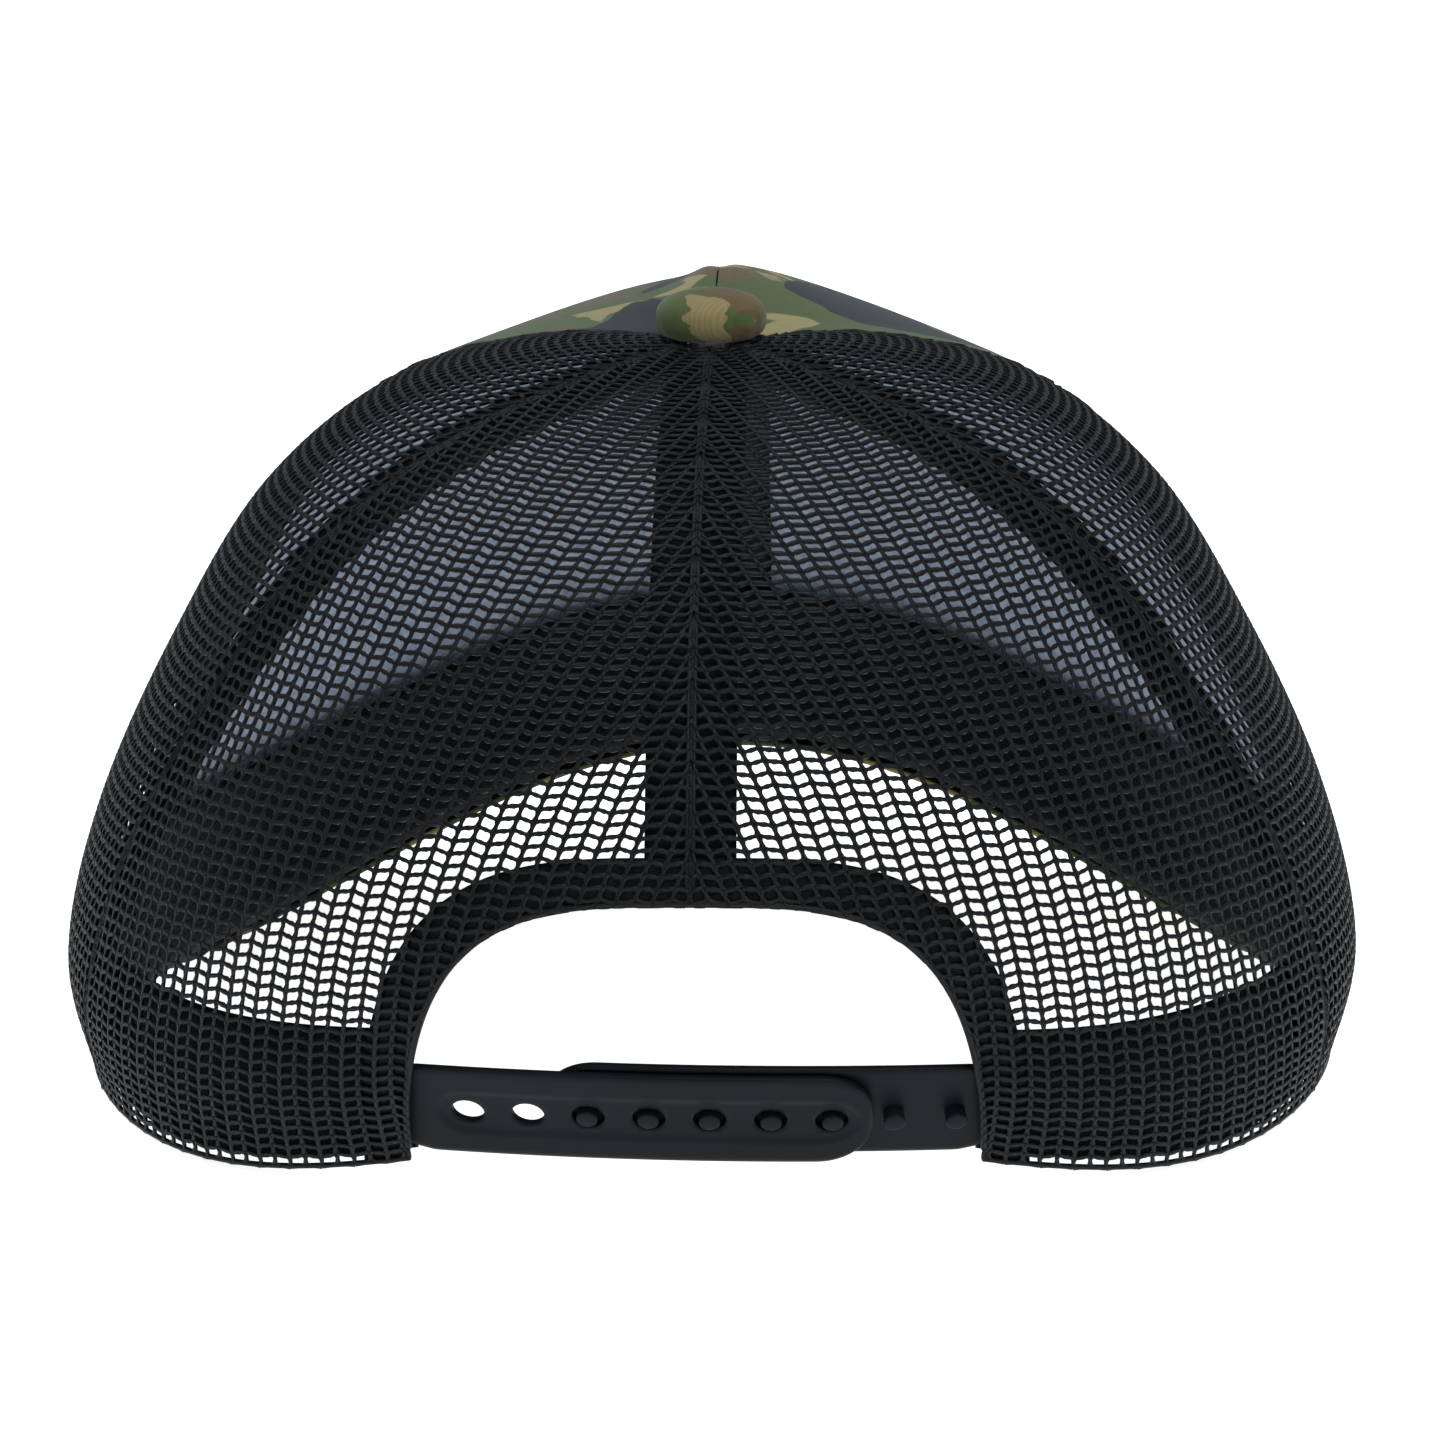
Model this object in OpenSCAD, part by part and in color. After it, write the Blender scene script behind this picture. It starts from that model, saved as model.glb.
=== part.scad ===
// Six-panel trucker cap with a curved visor, mesh back and side panels, fabric front panels,
// and a two-piece plastic snap strap. +Y is the visor side, -Y the strap side, +Z is up.
// The origin is on the table, under the middle of the cap's bounding box.

/* [Crown] */
// Widest outside width of the crown, just above the hem
crown_w = 181; // [172:1:190]
// Height of the crown's top under the button
crown_h = 103; // [98:1:110]
// Thickness of the open mesh cloth
mesh_t = 0.8; // [0.6:0.1:1]
// Thickness of the woven front cloth
cloth_t = 0.9; // [0.6:0.1:1]
// Thickness of the stiff lining behind the front panels
buckram_t = 0.6; // [0.4:0.1:0.8]

/* [Seams and bands] */
// Width of the tape sewn behind each seam
tape_w = 12; // [9:1:14]
// Thickness of the seam tape
tape_t = 0.5; // [0.3:0.1:0.7]
// Width of the sweatband up from the hem
band_w = 23; // [18:1:28]
// Thickness of the sweatband
band_t = 1.2; // [0.8:0.1:1.6]
// Width of the folded binding around the rear arch
binding_w = 6; // [5:1:9]

/* [Rear arch and strap] */
// Width of the rear arch between its upright sides
arch_w = 76; // [70:1:82]
// Height of the rear arch above the hem, along the panel
arch_h = 46; // [40:1:50]
// Width of the plastic strap
strap_w = 16.5; // [14:0.5:18]
// Thickness of each strap
strap_t = 1.3; // [1:0.1:1.6]
// Diameter of a snap hole
hole_d = 4.4; // [4:0.1:4.8]
// Diameter of a snap stud
stud_d = 3; // [2.6:0.1:3.2]
// Distance from one snap hole to the next
snap_pitch = 8; // [7.5:0.1:8.2]

/* [Visor] */
// How far the visor reaches past the front of the crown
visor_l = 70; // [60:1:78]
// Half the width that the visor's edge starts from, at its tips
visor_half_w = 80; // [76:1:84]
// Thickness of the stiff visor board
board_t = 1.5; // [1.2:0.1:2]
// Thickness of each cloth cover on the visor
cover_t = 0.8; // [0.6:0.1:1]

/* [Button] */
// Diameter of the covered button on top
button_d = 15.5; // [13:0.5:18]
// Height of the covered button
button_h = 6.6; // [5:0.2:8]

/* [Hidden] */
$fn = 48;

// The crown's centre sits behind the origin, because the visor reaches forward.
crown_y = -34.8;
wide = crown_w / 181;
tall = crown_h / 103;

// Outline stations from the hem to the top. Each one is [half width, reach back, reach forward,
// side height, back height, front height, squareness, dip of the rear corners].
STATIONS = [
    [87 * wide, 83, 96, 5 * tall, 7.5 * tall, 31 * tall, 2.7, 6 * tall],
    [90.5 * wide, 94, 97, 20 * tall, 20 * tall, 45 * tall, 2.5, 3 * tall],
    [86 * wide, 98, 94, 40 * tall, 37 * tall, 60 * tall, 2.4, 0],
    [76 * wide, 92, 88, 62 * tall, 57 * tall, 77 * tall, 2.3, 0],
    [63 * wide, 77, 79, 83 * tall, 76 * tall, 93 * tall, 2.2, 0],
    [45 * wide, 53, 62, 97 * tall, 91 * tall, 104 * tall, 2.1, 0],
    [22 * wide, 26, 32, 103 * tall, 99.5 * tall, 107.5 * tall, 2, 0],
    [0, 0, 0, 103 * tall, 103 * tall, 103 * tall, 2, 0]
];
LAST = len(STATIONS) - 1;

// The panels stop at a small round hole for the button's rivet.
t_top = 0.972;
// The crown's height parameter gains this much for 1 mm of cloth up from the hem.
t_per_mm = 1 / 145;

// Polar angles of the seams: 0 is the centre back, 180 the centre front.
function side_seam(t) = 67 - 34 * t;
function front_seam(t) = 117 - 4 * t;

// Depths of the layers under the crown's outer face
lining_depth = 1.1;
binding_depth = 1.2;
tape_depth = 1.9;
strap_depth = 1.9;
band_depth = 3.5;
seam_gap = 0.2;

// Catmull-Rom blend of four values
function blend4(a, b, c, d, w) =
    (2 * b + (c - a) * w + (2 * a - 5 * b + 4 * c - d) * w * w
        + (3 * b - a - 3 * c + d) * w * w * w) / 2;

// Past the top the outline comes out on the other side, with its reaches turned negative.
function station_at(k) =
    k < 0 ? 2 * STATIONS[0] - STATIONS[1]
    : k > LAST ? [for (i = [0:7]) STATIONS[LAST - 1][i] * (i < 3 ? -1 : 1)]
    : STATIONS[k];

function station(t) =
    let (u = max(0, min(t, 1)) * LAST, k = min(floor(u), LAST - 1), w = u - k)
    blend4(station_at(k - 1), station_at(k), station_at(k + 1), station_at(k + 2), w);

// A point of the outline at polar angle a, for one station s
function outline(s, a) =
    let (
        back = cos(a) > 0,
        reach = back ? s[1] : s[2],
        r = pow(pow(abs(sin(a)) / s[0], s[6]) + pow(abs(cos(a)) / reach, s[6]), -1 / s[6]),
        x = r * sin(a),
        q = 1 - pow(x / s[0], 2),
        rise = back ? (s[4] - s[3]) * q - 4 * s[7] * q * (1 - q) : (s[5] - s[3]) * q * q
    )
    [x, crown_y - r * cos(a), s[3] + rise];

// The polar angle at which a back outline reaches a given x
function angle_of_x(x, t) =
    let (s = station(t))
    atan2(x, s[1] * pow(1 - pow(abs(x) / s[0], s[6]), 1 / s[6]));

function unit(v) = v / norm(v);

// The crown's outward direction at polar angle a and height t
function crown_out(a, t) =
    let (
        low = outline(station(t - 0.012), a),
        high = outline(station(min(t + 0.012, 0.985)), a),
        left = outline(station(t), a - 1),
        right = outline(station(t), a + 1)
    )
    unit(cross(right - left, high - low));

// A point at a depth under the crown's outer face
function crown(a, t, depth) = outline(station(t), a) - depth * crown_out(a, t);

// The angle that is mm of cloth wide at polar angle a and height t
function arc_angle(a, t, mm) =
    let (p = outline(station(t), a))
    mm / norm([p[0], p[1] - crown_y]) * 180 / PI;

// A closed shell between an outer and an inner grid of points, rows of equal length
module shell(outer, inner) {
    rows = len(outer);
    cols = len(outer[0]);
    n = rows * cols;
    function id(side, i, j) = side * n + i * cols + j;
    points = [for (grid = [outer, inner]) for (row = grid) for (p = row) p];
    skins = [for (i = [0:rows - 2]) for (j = [0:cols - 2]) each [
        [id(0, i, j), id(0, i + 1, j), id(0, i + 1, j + 1)],
        [id(0, i, j), id(0, i + 1, j + 1), id(0, i, j + 1)],
        [id(1, i, j), id(1, i + 1, j + 1), id(1, i + 1, j)],
        [id(1, i, j), id(1, i, j + 1), id(1, i + 1, j + 1)]
    ]];
    ends = [for (j = [0:cols - 2]) each [
        [id(0, 0, j), id(0, 0, j + 1), id(1, 0, j + 1)],
        [id(0, 0, j), id(1, 0, j + 1), id(1, 0, j)],
        [id(0, rows - 1, j), id(1, rows - 1, j + 1), id(0, rows - 1, j + 1)],
        [id(0, rows - 1, j), id(1, rows - 1, j), id(1, rows - 1, j + 1)]
    ]];
    sides = [for (i = [0:rows - 2]) each [
        [id(0, i, 0), id(1, i + 1, 0), id(0, i + 1, 0)],
        [id(0, i, 0), id(1, i, 0), id(1, i + 1, 0)],
        [id(0, i, cols - 1), id(0, i + 1, cols - 1), id(1, i + 1, cols - 1)],
        [id(0, i, cols - 1), id(1, i + 1, cols - 1), id(1, i, cols - 1)]
    ]];
    polyhedron(points, concat(skins, ends, sides));
}

// A shell laid on the crown: spots is a grid of [angle, height] places.
module crown_shell(spots, depth, thick)
    shell(
        [for (row = spots) [for (s = row) crown(s[0], s[1], depth)]],
        [for (row = spots) [for (s = row) crown(s[0], s[1], depth + thick)]]);

module mirrored(left) {
    if (left) mirror([1, 0, 0]) children();
    else children();
}

// A panel between two seams, each side drawn in by half of the seam gap
function panel_spots(from, to, t0, t1, rows, cols) = [
    for (i = [0:rows]) let (t = t0 + (t1 - t0) * i / rows) [
        for (j = [0:cols]) let (
            a = from[0] + from[1] * t,
            b = to[0] + to[1] * t,
            inset = arc_angle((a + b) / 2, t, seam_gap / 2)
        )
        [a + inset + (b - a - 2 * inset) * j / cols, t]
    ]
];

// Seams as [angle at the hem, change up to the top]
SEAM_BACK = [0, 0];
SEAM_SIDE = [side_seam(0), side_seam(1) - side_seam(0)];
SEAM_FRONT = [front_seam(0), front_seam(1) - front_seam(0)];
SEAM_CENTRE = [180, 0];

// The rear arch: an upright-sided arch, squarer than an ellipse. w runs from 0 at the centre
// to 90 at the hem, and grow widens the arch along the cloth.
arch_square = 3.2;
function arch_x(w, grow) = (arch_w / 2 + grow) * pow(sin(w), 2 / arch_square);
function arch_t(w, grow) = (arch_h + grow) * t_per_mm * pow(max(cos(w), 0), 2 / arch_square);

// Bottom ends of a back panel's columns: first around the arch, then along the hem
ARCH_COLS = 12;
HEM_COLS = 9;
function back_foot(j) =
    j <= ARCH_COLS
    ? let (w = 90 * j / ARCH_COLS, t = arch_t(w, 0)) [angle_of_x(arch_x(w, 0), t), t]
    : let (a = angle_of_x(arch_w / 2, 0))
        [a + (side_seam(0) - a) * (j - ARCH_COLS) / HEM_COLS, 0];

function back_spots(rows) = [
    for (i = [0:rows]) [
        for (j = [0:ARCH_COLS + HEM_COLS]) let (
            foot = back_foot(j),
            t = foot[1] + (t_top - foot[1]) * i / rows,
            top_a = side_seam(t_top) * j / (ARCH_COLS + HEM_COLS),
            a = foot[0] + (top_a - foot[0]) * (t - foot[1]) / (t_top - foot[1]),
            inset = arc_angle(45, t, seam_gap / 2),
            share = a / side_seam(t)
        )
        [a + inset * (1 - 2 * share), t]
    ]
];

module back_mesh(left) color("#22252b") mirrored(left)
    crown_shell(back_spots(14), 0, mesh_t);

module side_mesh(left) color("#22252b") mirrored(left)
    crown_shell(panel_spots(SEAM_SIDE, SEAM_FRONT, 0, t_top, 18, 10), 0, mesh_t);

module front_panel(left) color("#5a6045") mirrored(left)
    crown_shell(panel_spots(SEAM_FRONT, SEAM_CENTRE, 0, t_top, 18, 12), 0, cloth_t);

module front_buckram(left) color("#62656f") mirrored(left)
    crown_shell(panel_spots(SEAM_FRONT, SEAM_CENTRE, 0.02, 0.95, 18, 12), lining_depth, buckram_t);

// A tape behind a seam. It narrows under the button, where six tapes meet.
module seam_tape(seam, t0) {
    rows = 20;
    narrowest = 18;
    spots = [for (i = [0:rows]) let (
            t = t0 + (0.955 - t0) * i / rows,
            a = seam[0] + seam[1] * t,
            half = min(arc_angle(a, t, tape_w / 2), narrowest)
        )
        [for (j = [-1:1]) [a + half * j, t]]];
    color("#1d1f24") crown_shell(spots, tape_depth, tape_t);
}

// Height of the sweatband's upper edge: the cloth is steeper at the front, so it sits higher there.
function band_t_top(a) = band_w * t_per_mm * (1.05 + 0.42 * (1 - cos(a)) / 2);

module sweatband() {
    start = angle_of_x(arch_w / 2 + 1, 0.05);
    cols = 72;
    rows = 4;
    foot_t = 0.011;
    spots = [for (i = [0:rows]) [
        for (j = [0:cols]) let (a = start + (360 - 2 * start) * j / cols)
        [a, foot_t + (band_t_top(a) - foot_t) * i / rows]
    ]];
    color("#17191d") crown_shell(spots, band_depth, band_t);
}

module arch_binding() {
    steps = 30;
    spots = [for (i = [0:2]) [
        for (j = [-steps:steps]) let (
            w = 90 * abs(j) / steps,
            grow = 0.3 + (binding_w - 0.3) * i / 2,
            t = max(arch_t(w, grow), 0.004),
            x = arch_x(w, grow) * sign(j)
        )
        [angle_of_x(x, t), t]
    ]];
    color("#1a1c21") crown_shell(spots, binding_depth, tape_t);
}

// Visor: ruled from the hem between its two tips to a rounded outer edge.
tip_angle = 118;
tip_w = 4;
edge_height = 24;
edge_droop = 33;
edge_lift = 15.5;
edge_square = 2.25;
visor_y0 = crown_y + 46;
visor_reach = crown_y + 97 + visor_l - visor_y0;
VISOR_COLS = 56;
// Room between the board and each cover, which bend a little differently at the tips
board_gap = 0.3;
VISOR_ROWS = 8;

function hem_edge(u) = outline(station(0), 180 - (180 - tip_angle) * u);
function outer_edge(u) =
    let (
        s = sign(u) * pow(abs(sin(90 * u)), 2 / edge_square),
        c = pow(max(cos(90 * u), 0), 2 / edge_square),
        z = edge_height - edge_droop * s * s + edge_lift * pow(abs(s), 12)
    )
    [(visor_half_w + tip_w) * s, visor_y0 + visor_reach * c, z];

// A point of the middle surface, v from the hem side to the outer edge less its inset
function visor_mid(u, v, inset) =
    let (a = hem_edge(u), b = outer_edge(u), out = b - a, start = 0.8 + inset / 2)
    a + out * (v + ((1 - v) * start - v * inset) / norm(out));

function visor_up(u, v) =
    let (
        du = visor_mid(min(u + 0.02, 1), v, 0) - visor_mid(max(u - 0.02, -1), v, 0),
        dv = visor_mid(u, 1, 0) - visor_mid(u, 0, 0)
    )
    unit(cross(du, dv));

// A layer of the visor between two heights over its middle surface. end is how near to the
// tips it reaches, out of 1.
module visor_layer(low, high, inset, end) {
    function grid(h) = [for (i = [0:VISOR_ROWS]) [
        for (j = [0:VISOR_COLS]) let (u = end * (2 * j / VISOR_COLS - 1), v = i / VISOR_ROWS)
        visor_mid(u, v, inset) + h * visor_up(u, v)
    ]];
    shell(grid(high), grid(low));
}

module visor_board() color("#2a2c2e")
    visor_layer(-board_t / 2, board_t / 2, 1.6, 0.92);

module visor_top_cover() color("#5a6045")
    visor_layer(board_t / 2 + board_gap, board_t / 2 + board_gap + cover_t, 0, 0.985);

module visor_under_cover() color("#5a6045")
    visor_layer(-board_t / 2 - board_gap - cover_t, -board_t / 2 - board_gap, 0, 0.985);

// The button: a cloth-covered dome on a core, held by a rivet through the crown's top
button_z = crown_h + 0.8;
skin_t = 0.6;
rivet_d = 3.6;

// Half of a flattened dome's section, from its flat underside to its rounded crown
module dome_section(r, h) intersection() {
    translate([0, h - r * 1.25]) circle(r = r * 1.25);
    translate([0, h * 0.42]) circle(r = r);
    square([r, h]);
}

module button_cover() color("#7a7450") translate([0, crown_y, button_z])
    difference() {
        rotate_extrude() dome_section(button_d / 2, button_h);
        translate([0, 0, -0.01])
            rotate_extrude() dome_section(button_d / 2 - skin_t, button_h - skin_t);
    }

module button_core() color("#8d9094") translate([0, crown_y, button_z])
    difference() {
        rotate_extrude() dome_section(button_d / 2 - skin_t - 0.1, button_h - skin_t - 0.1);
        translate([0, 0, -1]) cylinder(d = rivet_d + 0.1, h = button_h - 2);
    }

module button_rivet() color("#8d9094") translate([0, crown_y, 0]) {
    washer_top = crown_h - 4;
    translate([0, 0, washer_top - 0.8]) cylinder(d = 13, h = 0.8);
    translate([0, 0, washer_top - 0.1]) cylinder(d = rivet_d, h = 7.5);
}

// Straps: each is a band of a cone around the back, leaning in toward the hem like the panel.
strap_radius = 165;
strap_mid_t = 0.066;
strap_part = 1.3;
// Each strap starts this far from its bending line, so it clears the arch as it swings.
root_gap = 2.2;
pivot_x = arch_w / 2 + 0.2;
end_margin = 5.4;
last_hole_x = 18.2;
hole_count = 7;
stud_count = 7;
engaged = 5;
// How far a stud stands out of its strap: through the gap and the other strap
stud_stand = strap_t + 0.7;

// The pivot of the right strap, at the middle of its width and thickness
PIVOT_A = angle_of_x(pivot_x, strap_mid_t);
PIVOT = crown(PIVOT_A, strap_mid_t, strap_depth + strap_t / 2);
strap_out = crown_out(PIVOT_A, strap_mid_t);
strap_lean = atan2(-strap_out[2], -strap_out[1]);
sag = strap_radius - sqrt(pow(strap_radius, 2) - pow(pivot_x, 2));

// From the strap's own place to the cap's: the middle of its width passes through both pivots.
module strap_place() translate([0, PIVOT[1], PIVOT[2]]) children();

// The band of the cone, with the strap's thickness and more than its width
module cone_band() translate([0, strap_radius - sag, 0])
    rotate_extrude($fn = 96)
        translate([strap_radius, 0]) rotate(-strap_lean)
            square([strap_t, strap_w + 1], center = true);

// The strap's outline seen from behind, from its root to its rounded end
module tongue_outline(root, tip) {
    r = 7;
    translate([root, -strap_w / 2]) square([tip - r - root, strap_w]);
    translate([tip - 2 * r, r - strap_w / 2]) square([2 * r, strap_w - 2 * r]);
    for (s = [-1, 1]) translate([tip - r, s * (strap_w / 2 - r)]) circle(r = r);
}

// Turns about the strap's own root line, which leans with it; side is -1 for the left root.
module about_root(side, angle) translate([side * pivot_x, 0, 0])
    rotate(a = angle, v = [0, -sin(strap_lean), cos(strap_lean)])
        translate([-side * pivot_x, 0, 0]) children();

// Places a child on the cone at x, with -Y pointing straight out of the strap
module on_cone(x) {
    turn = asin(x / strap_radius);
    translate([x, strap_radius - sag - strap_radius * cos(turn), 0])
        rotate([0, 0, turn]) rotate([strap_lean, 0, 0]) children();
}

module tongue(tip) intersection() {
    cone_band();
    rotate([strap_lean, 0, 0]) translate([0, 20, 0]) rotate([90, 0, 0])
        linear_extrude(height = 40) tongue_outline(-pivot_x + root_gap, tip);
}

module hole_strap() color("#26292b") strap_place() about_root(-1, -strap_part)
    difference() {
        tongue(last_hole_x + end_margin);
        for (k = [0:hole_count - 1]) on_cone(last_hole_x - k * snap_pitch)
            rotate([90, 0, 0]) cylinder(d = hole_d, h = 6, center = true);
    }

module stud_strap() color("#26292b") strap_place() about_root(1, -strap_part) {
    first_x = last_hole_x - (engaged - 1) * snap_pitch;
    mirror([1, 0, 0]) tongue(end_margin - first_x);
    for (k = [0:stud_count - 1]) on_cone(first_x + k * snap_pitch)
        rotate([90, 0, 0]) cylinder(d = stud_d, h = strap_t / 2 + stud_stand);
}

// The sewn-in end of a strap, between the mesh and the sweatband
module strap_root(left) {
    half = strap_w / 2 * t_per_mm;
    spots = [for (i = [0:3]) let (
            t = strap_mid_t + half * 0.93 * (i - 1.5) / 1.5,
            from = angle_of_x(pivot_x + 0.1, t)
        )
        [for (j = [0:3]) [from + arc_angle(from, t, 14) * j / 3, t]]];
    color("#26292b") mirrored(left) crown_shell(spots, strap_depth, strap_t);
}

back_mesh(true);  // back_mesh_left
back_mesh(false);  // back_mesh_right
side_mesh(true);  // side_mesh_left
side_mesh(false);  // side_mesh_right
front_panel(true);  // front_panel_left
front_panel(false);  // front_panel_right
front_buckram(true);  // front_buckram_left
front_buckram(false);  // front_buckram_right
seam_tape(SEAM_BACK, 0.38);  // seam_tape_back
mirrored(true) seam_tape(SEAM_SIDE, 0.02);  // seam_tape_side_left
seam_tape(SEAM_SIDE, 0.02);  // seam_tape_side_right
mirrored(true) seam_tape(SEAM_FRONT, 0.02);  // seam_tape_front_left
seam_tape(SEAM_FRONT, 0.02);  // seam_tape_front_right
seam_tape(SEAM_CENTRE, 0.02);  // seam_tape_front_centre
sweatband();
arch_binding();
visor_board();
visor_top_cover();
visor_under_cover();
button_cover();
button_core();
button_rivet();
strap_root(true);  // hole_strap_root
strap_root(false);  // stud_strap_root
hole_strap();
stud_strap();
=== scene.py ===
# A six-panel trucker cap: knitted net back and sides, printed twill front and visor, covered
# button and a two-part snap strap. Lengths inside the functions are millimetres until placed.
import math

import bmesh
import bpy
import numpy as np
from mathutils import Matrix, Vector


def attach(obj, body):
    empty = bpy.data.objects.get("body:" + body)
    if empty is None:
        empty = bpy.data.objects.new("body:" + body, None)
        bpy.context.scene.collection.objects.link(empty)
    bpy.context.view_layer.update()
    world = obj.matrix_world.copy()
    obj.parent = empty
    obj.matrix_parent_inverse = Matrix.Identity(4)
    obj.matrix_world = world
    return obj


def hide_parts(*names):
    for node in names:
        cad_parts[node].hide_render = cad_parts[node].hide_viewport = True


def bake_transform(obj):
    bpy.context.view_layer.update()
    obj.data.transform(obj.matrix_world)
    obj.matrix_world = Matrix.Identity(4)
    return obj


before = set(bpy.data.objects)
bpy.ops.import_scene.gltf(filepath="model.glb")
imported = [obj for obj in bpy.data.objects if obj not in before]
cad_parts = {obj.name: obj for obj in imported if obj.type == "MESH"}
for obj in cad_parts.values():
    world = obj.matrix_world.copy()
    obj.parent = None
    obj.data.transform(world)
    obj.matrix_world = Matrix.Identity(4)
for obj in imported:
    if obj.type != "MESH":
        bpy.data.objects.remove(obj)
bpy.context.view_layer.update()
scene = bpy.context.scene
scene.view_settings.view_transform = "Standard"
MM = 0.001

# ---------------------------------------------------------------- the crown's own surface
CROWN_Y = -34.8
T_TOP = 0.972
T_PER_MM = 1 / 145
# Outline stations from the hem to the top: half width, reach back, reach forward, side height,
# back height, front height, squareness, dip of the rear corners.
STATIONS = np.array([
    [87, 83, 96, 5, 7.5, 31, 2.7, 6],
    [90.5, 94, 97, 20, 20, 45, 2.5, 3],
    [86, 98, 94, 40, 37, 60, 2.4, 0],
    [76, 92, 88, 62, 57, 77, 2.3, 0],
    [63, 77, 79, 83, 76, 93, 2.2, 0],
    [45, 53, 62, 97, 91, 104, 2.1, 0],
    [22, 26, 32, 103, 99.5, 107.5, 2, 0],
    [0, 0, 0, 103, 103, 103, 2, 0],
])
LAST = len(STATIONS) - 1
BELOW_HEM = 2 * STATIONS[0] - STATIONS[1]
PAST_TOP = STATIONS[LAST - 1] * np.array([-1, -1, -1, 1, 1, 1, 1, 1])
KNOTS = np.vstack([BELOW_HEM, STATIONS, PAST_TOP])


def station(height):
    along = np.clip(height, 0, 1) * LAST
    k = np.minimum(np.floor(along), LAST - 1).astype(int)
    w = (along - k)[..., None]
    a, b, c, d = KNOTS[k], KNOTS[k + 1], KNOTS[k + 2], KNOTS[k + 3]
    return (
        2 * b + (c - a) * w + (2 * a - 5 * b + 4 * c - d) * w**2 + (3 * b - a - 3 * c + d) * w**3
    ) / 2


def outline(s, angle):
    sine, cosine = np.sin(np.radians(angle)), np.cos(np.radians(angle))
    back = cosine > 0
    reach = np.where(back, s[..., 1], s[..., 2])
    power = s[..., 6]
    r = ((abs(sine) / s[..., 0]) ** power + (abs(cosine) / reach) ** power) ** (-1 / power)
    x = r * sine
    q = 1 - (x / s[..., 0]) ** 2
    rise = np.where(
        back,
        (s[..., 4] - s[..., 3]) * q - 4 * s[..., 7] * q * (1 - q),
        (s[..., 5] - s[..., 3]) * q * q,
    )
    return np.stack([x, CROWN_Y - r * cosine, s[..., 3] + rise], -1)


def unit(v):
    return v / np.linalg.norm(v, axis=-1, keepdims=True)


def crown_out(angle, height):
    low = outline(station(height - 0.012), angle)
    high = outline(station(np.minimum(height + 0.012, 0.985)), angle)
    here = station(height)
    return unit(np.cross(outline(here, angle + 1) - outline(here, angle - 1), high - low))


def crown(angle, height, depth):
    """Points at a depth under the crown's outer face; angle 0 is centre back, 180 centre front."""
    angle, height, depth = np.broadcast_arrays(
        np.asarray(angle, float), np.asarray(height, float), np.asarray(depth, float)
    )
    return outline(station(height), angle) - depth[..., None] * crown_out(angle, height)


def radius(angle, height):
    p = outline(station(np.asarray(height, float)), np.asarray(angle, float))
    return np.hypot(p[..., 0], p[..., 1] - CROWN_Y)


def degrees_wide(angle, height, width):
    return np.degrees(width / radius(angle, height))


def angle_of_x(x, height):
    s = station(np.asarray(height, float))
    inside = np.clip(1 - (abs(x) / s[..., 0]) ** s[..., 6], 1e-6, 1)
    return np.degrees(np.arctan2(x, s[..., 1] * inside ** (1 / s[..., 6])))


def side_seam(height):
    return 67 - 34 * height


def front_seam(height):
    return 117 - 4 * height


def back_centre(height):
    return 0 * height


def front_centre(height):
    return 180 + 0 * height


# The rear arch: sides upright, squarer than an ellipse
ARCH_HALF, ARCH_HIGH, ARCH_SQUARE = 38.0, 46.0, 3.2


def arch_place(turn, grow):
    """(angle, height) on the arch's edge, grown by some cloth; turn is -90 to 90 across it."""
    s, c = np.sin(np.radians(turn)), np.clip(np.cos(np.radians(turn)), 0, 1)
    height = np.maximum((ARCH_HIGH + grow) * T_PER_MM * c ** (2 / ARCH_SQUARE), 0.001)
    x = (ARCH_HALF + grow) * np.sign(s) * abs(s) ** (2 / ARCH_SQUARE)
    return angle_of_x(x, height), height


# ---------------------------------------------------------------- materials
def linear(code):
    parts = [int(code[i:i + 2], 16) / 255 for i in (1, 3, 5)]
    return (*[p / 12.92 if p <= 0.04045 else ((p + 0.055) / 1.055) ** 2.4 for p in parts], 1)


def add(tree, kind, inputs=(), **settings):
    """Adds a node. Inputs are (socket, value) pairs; a value that is a socket is linked."""
    made = tree.nodes.new(kind)
    for key, value in settings.items():
        setattr(made, key, value)
    for key, value in inputs:
        if isinstance(value, bpy.types.NodeSocket):
            tree.links.new(value, made.inputs[key])
        else:
            made.inputs[key].default_value = value
    return made


def start_material(name):
    made = bpy.data.materials.new(name)
    made.use_nodes = True
    made.node_tree.nodes.clear()
    return made, made.node_tree


def close_material(tree, shader):
    add(tree, "ShaderNodeOutputMaterial", [("Surface", shader.outputs[0])])


def colours(tree, value, stops):
    """A colour ramp: stops are (place, colour code) pairs."""
    ramp = add(tree, "ShaderNodeValToRGB", [("Fac", value)])
    while len(ramp.color_ramp.elements) < len(stops):
        ramp.color_ramp.elements.new(0.5)
    for element, (place, code) in zip(ramp.color_ramp.elements, stops):
        element.position = place
        element.color = linear(code)
    return ramp.outputs["Color"]


BANDS = 314  # a wave texture of this scale has bands 1 mm apart


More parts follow.
